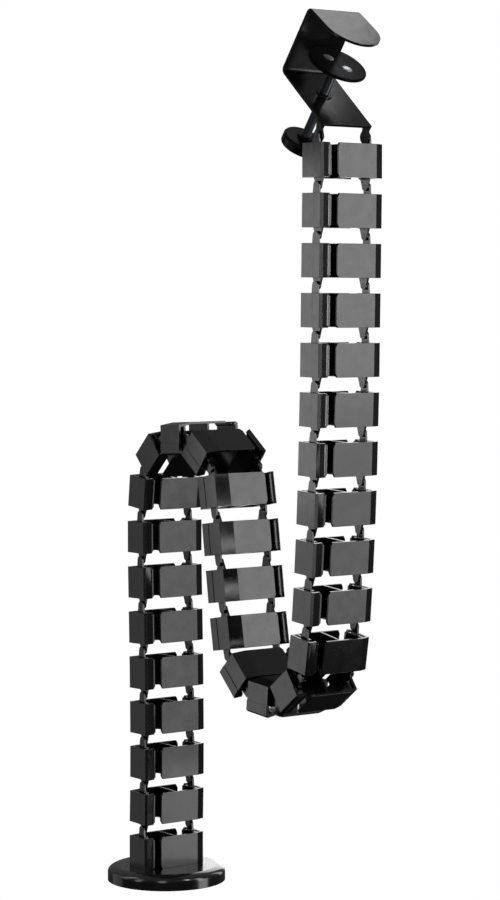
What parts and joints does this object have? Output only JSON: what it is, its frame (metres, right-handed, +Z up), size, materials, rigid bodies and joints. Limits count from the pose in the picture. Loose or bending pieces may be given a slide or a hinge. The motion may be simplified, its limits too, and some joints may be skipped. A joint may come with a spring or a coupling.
{
  "type": "cable spine",
  "caption": "Cable spine of hinged two-channel vertebrae in an S bend, hung from a tilted desk clamp, with a round weighted foot.",
  "frame": {"origin": "middle of the clamp hook's underside, the face that rests on the desk, above the screw", "axes": "+X along the hinge pins, -Y to the front of the spine, +Z up"},
  "size_m": [0.11, 0.3503, 0.7857],
  "materials": {
    "clamp_steel": "satin black powder coat",
    "screw_steel": "black oxide",
    "knob_plastic": "satin",
    "pad_steel": "satin black powder coat",
    "spine_plastic": "satin",
    "base_plastic": "polished black",
    "weight_steel": "bare",
    "foot_rubber": "matt"
  },
  "bodies": {
    "clamp": {"clamp_bracket": "clamp_steel"},
    "pad": {"pressure_pad": "pad_steel"},
    "screw": {"clamp_screw": "screw_steel", "clamp_knob": "knob_plastic"},
    "vertebra_01": {"vertebra_01": "spine_plastic"},
    "vertebra_02": {"vertebra_02": "spine_plastic"},
    "vertebra_03": {"vertebra_03": "spine_plastic"},
    "vertebra_04": {"vertebra_04": "spine_plastic"},
    "vertebra_05": {"vertebra_05": "spine_plastic"},
    "vertebra_06": {"vertebra_06": "spine_plastic"},
    "vertebra_07": {"vertebra_07": "spine_plastic"},
    "vertebra_08": {"vertebra_08": "spine_plastic"},
    "vertebra_09": {"vertebra_09": "spine_plastic"},
    "vertebra_10": {"vertebra_10": "spine_plastic"},
    "vertebra_11": {"vertebra_11": "spine_plastic"},
    "vertebra_12": {"vertebra_12": "spine_plastic"},
    "vertebra_13": {"vertebra_13": "spine_plastic"},
    "vertebra_14": {"vertebra_14": "spine_plastic"},
    "vertebra_15": {"vertebra_15": "spine_plastic"},
    "vertebra_16": {"vertebra_16": "spine_plastic"},
    "vertebra_17": {"vertebra_17": "spine_plastic"},
    "vertebra_18": {"vertebra_18": "spine_plastic"},
    "vertebra_19": {"vertebra_19": "spine_plastic"},
    "vertebra_20": {"vertebra_20": "spine_plastic"},
    "vertebra_21": {"vertebra_21": "spine_plastic"},
    "vertebra_22": {"vertebra_22": "spine_plastic"},
    "vertebra_23": {"vertebra_23": "spine_plastic"},
    "vertebra_24": {"vertebra_24": "spine_plastic"},
    "vertebra_25": {"vertebra_25": "spine_plastic"},
    "vertebra_26": {"vertebra_26": "spine_plastic"},
    "vertebra_27": {"vertebra_27": "spine_plastic"},
    "vertebra_28": {"vertebra_28": "spine_plastic"},
    "vertebra_29": {"vertebra_29": "spine_plastic"},
    "vertebra_30": {"vertebra_30": "spine_plastic", "base_cover": "base_plastic", "base_weight": "weight_steel", "base_foot_pad": "foot_rubber"}
  },
  "joints": [
    {"name": "screw_turn", "type": "hinge", "parent": "pad", "child": "screw", "pos_m": [0, 0.01745, -0.02316], "axis": [0, -0.6018, 0.7986], "range_deg": [-6052, 8068]},
    {"name": "pad_travel", "type": "slide", "parent": "clamp", "child": "pad", "axis": [0, -0.6018, 0.7986], "range_m": [-0.021, 0.028]},
    {"name": "pivot_01", "type": "hinge", "parent": "clamp", "child": "vertebra_01", "pos_m": [0, 0.01262, -0.08653], "axis": [1, 0, 0], "range_deg": [-65, 45]},
    {"name": "pivot_02", "type": "hinge", "parent": "vertebra_01", "child": "vertebra_02", "pos_m": [0, 0.01262, -0.12853], "axis": [-1, 0, 0], "range_deg": [-44, 46]},
    {"name": "pivot_03", "type": "hinge", "parent": "vertebra_02", "child": "vertebra_03", "pos_m": [0, 0.01335, -0.17053], "axis": [1, 0, 0], "range_deg": [-45, 45]},
    {"name": "pivot_04", "type": "hinge", "parent": "vertebra_03", "child": "vertebra_04", "pos_m": [0, 0.01408, -0.21252], "axis": [-1, 0, 0], "range_deg": [-45, 45]},
    {"name": "pivot_05", "type": "hinge", "parent": "vertebra_04", "child": "vertebra_05", "pos_m": [0, 0.01482, -0.25451], "axis": [1, 0, 0], "range_deg": [-45, 45]},
    {"name": "pivot_06", "type": "hinge", "parent": "vertebra_05", "child": "vertebra_06", "pos_m": [0, 0.01555, -0.29651], "axis": [-1, 0, 0], "range_deg": [-44, 46]},
    {"name": "pivot_07", "type": "hinge", "parent": "vertebra_06", "child": "vertebra_07", "pos_m": [0, 0.01701, -0.33848], "axis": [1, 0, 0], "range_deg": [-45, 45]},
    {"name": "pivot_08", "type": "hinge", "parent": "vertebra_07", "child": "vertebra_08", "pos_m": [0, 0.01848, -0.38045], "axis": [-1, 0, 0], "range_deg": [-44, 46]},
    {"name": "pivot_09", "type": "hinge", "parent": "vertebra_08", "child": "vertebra_09", "pos_m": [0, 0.02068, -0.4224], "axis": [1, 0, 0], "range_deg": [-46, 44]},
    {"name": "pivot_10", "type": "hinge", "parent": "vertebra_09", "child": "vertebra_10", "pos_m": [0, 0.02361, -0.46429], "axis": [-1, 0, 0], "range_deg": [-44, 46]},
    {"name": "pivot_11", "type": "hinge", "parent": "vertebra_10", "child": "vertebra_11", "pos_m": [0, 0.02727, -0.50614], "axis": [1, 0, 0], "range_deg": [-49.5, 40.5]},
    {"name": "pivot_12", "type": "hinge", "parent": "vertebra_11", "child": "vertebra_12", "pos_m": [0, 0.0342, -0.54756], "axis": [-1, 0, 0], "range_deg": [-1.5, 88.5]},
    {"name": "pivot_13", "type": "hinge", "parent": "vertebra_12", "child": "vertebra_13", "pos_m": [0, 0.06774, -0.57284], "axis": [1, 0, 0], "range_deg": [-87, 3]},
    {"name": "pivot_14", "type": "hinge", "parent": "vertebra_13", "child": "vertebra_14", "pos_m": [0, 0.10958, -0.56917], "axis": [-1, 0, 0], "range_deg": [-6.5, 83.5]},
    {"name": "pivot_15", "type": "hinge", "parent": "vertebra_14", "child": "vertebra_15", "pos_m": [0, 0.14005, -0.54026], "axis": [1, 0, 0], "range_deg": [-81.5, 8.5]},
    {"name": "pivot_16", "type": "hinge", "parent": "vertebra_15", "child": "vertebra_16", "pos_m": [0, 0.14734, -0.4989], "axis": [-1, 0, 0], "range_deg": [-43, 47]},
    {"name": "pivot_17", "type": "hinge", "parent": "vertebra_16", "child": "vertebra_17", "pos_m": [0, 0.15319, -0.45731], "axis": [1, 0, 0], "range_deg": [-45, 45]},
    {"name": "pivot_18", "type": "hinge", "parent": "vertebra_17", "child": "vertebra_18", "pos_m": [0, 0.15903, -0.41572], "axis": [-1, 0, 0], "range_deg": [-47, 43]},
    {"name": "pivot_19", "type": "hinge", "parent": "vertebra_18", "child": "vertebra_19", "pos_m": [0, 0.16633, -0.37436], "axis": [1, 0, 0], "range_deg": [-1.5, 88.5]},
    {"name": "pivot_20", "type": "hinge", "parent": "vertebra_19", "child": "vertebra_20", "pos_m": [0, 0.20009, -0.34937], "axis": [-1, 0, 0], "range_deg": [-84.5, 5.5]},
    {"name": "pivot_21", "type": "hinge", "parent": "vertebra_20", "child": "vertebra_21", "pos_m": [0, 0.24203, -0.35157], "axis": [1, 0, 0], "range_deg": [-4, 86]},
    {"name": "pivot_22", "type": "hinge", "parent": "vertebra_21", "child": "vertebra_22", "pos_m": [0, 0.27224, -0.38075], "axis": [-1, 0, 0], "range_deg": [-85, 5]},
    {"name": "pivot_23", "type": "hinge", "parent": "vertebra_22", "child": "vertebra_23", "pos_m": [0, 0.27663, -0.42252], "axis": [1, 0, 0], "range_deg": [-38, 51]},
    {"name": "pivot_24", "type": "hinge", "parent": "vertebra_23", "child": "vertebra_24", "pos_m": [0, 0.27663, -0.46452], "axis": [-1, 0, 0], "range_deg": [-46.5, 43.5]},
    {"name": "pivot_25", "type": "hinge", "parent": "vertebra_24", "child": "vertebra_25", "pos_m": [0, 0.27553, -0.5065], "axis": [1, 0, 0], "range_deg": [-45, 45]},
    {"name": "pivot_26", "type": "hinge", "parent": "vertebra_25", "child": "vertebra_26", "pos_m": [0, 0.27443, -0.54849], "axis": [-1, 0, 0], "range_deg": [-44.5, 45.5]},
    {"name": "pivot_27", "type": "hinge", "parent": "vertebra_26", "child": "vertebra_27", "pos_m": [0, 0.2737, -0.59048], "axis": [1, 0, 0], "range_deg": [-45.5, 44.5]},
    {"name": "pivot_28", "type": "hinge", "parent": "vertebra_27", "child": "vertebra_28", "pos_m": [0, 0.27333, -0.63248], "axis": [-1, 0, 0], "range_deg": [-44, 46]},
    {"name": "pivot_29", "type": "hinge", "parent": "vertebra_28", "child": "vertebra_29", "pos_m": [0, 0.2737, -0.67448], "axis": [1, 0, 0], "range_deg": [-46, 44]},
    {"name": "pivot_30", "type": "hinge", "parent": "vertebra_29", "child": "vertebra_30", "pos_m": [0, 0.2748, -0.71647], "axis": [-1, 0, 0], "range_deg": [-46.5, 43.5]}
  ],
  "couplings": [
    {"joint": "screw_turn", "follows": "pad_travel", "rad_per_m": 5026.5}
  ]
}
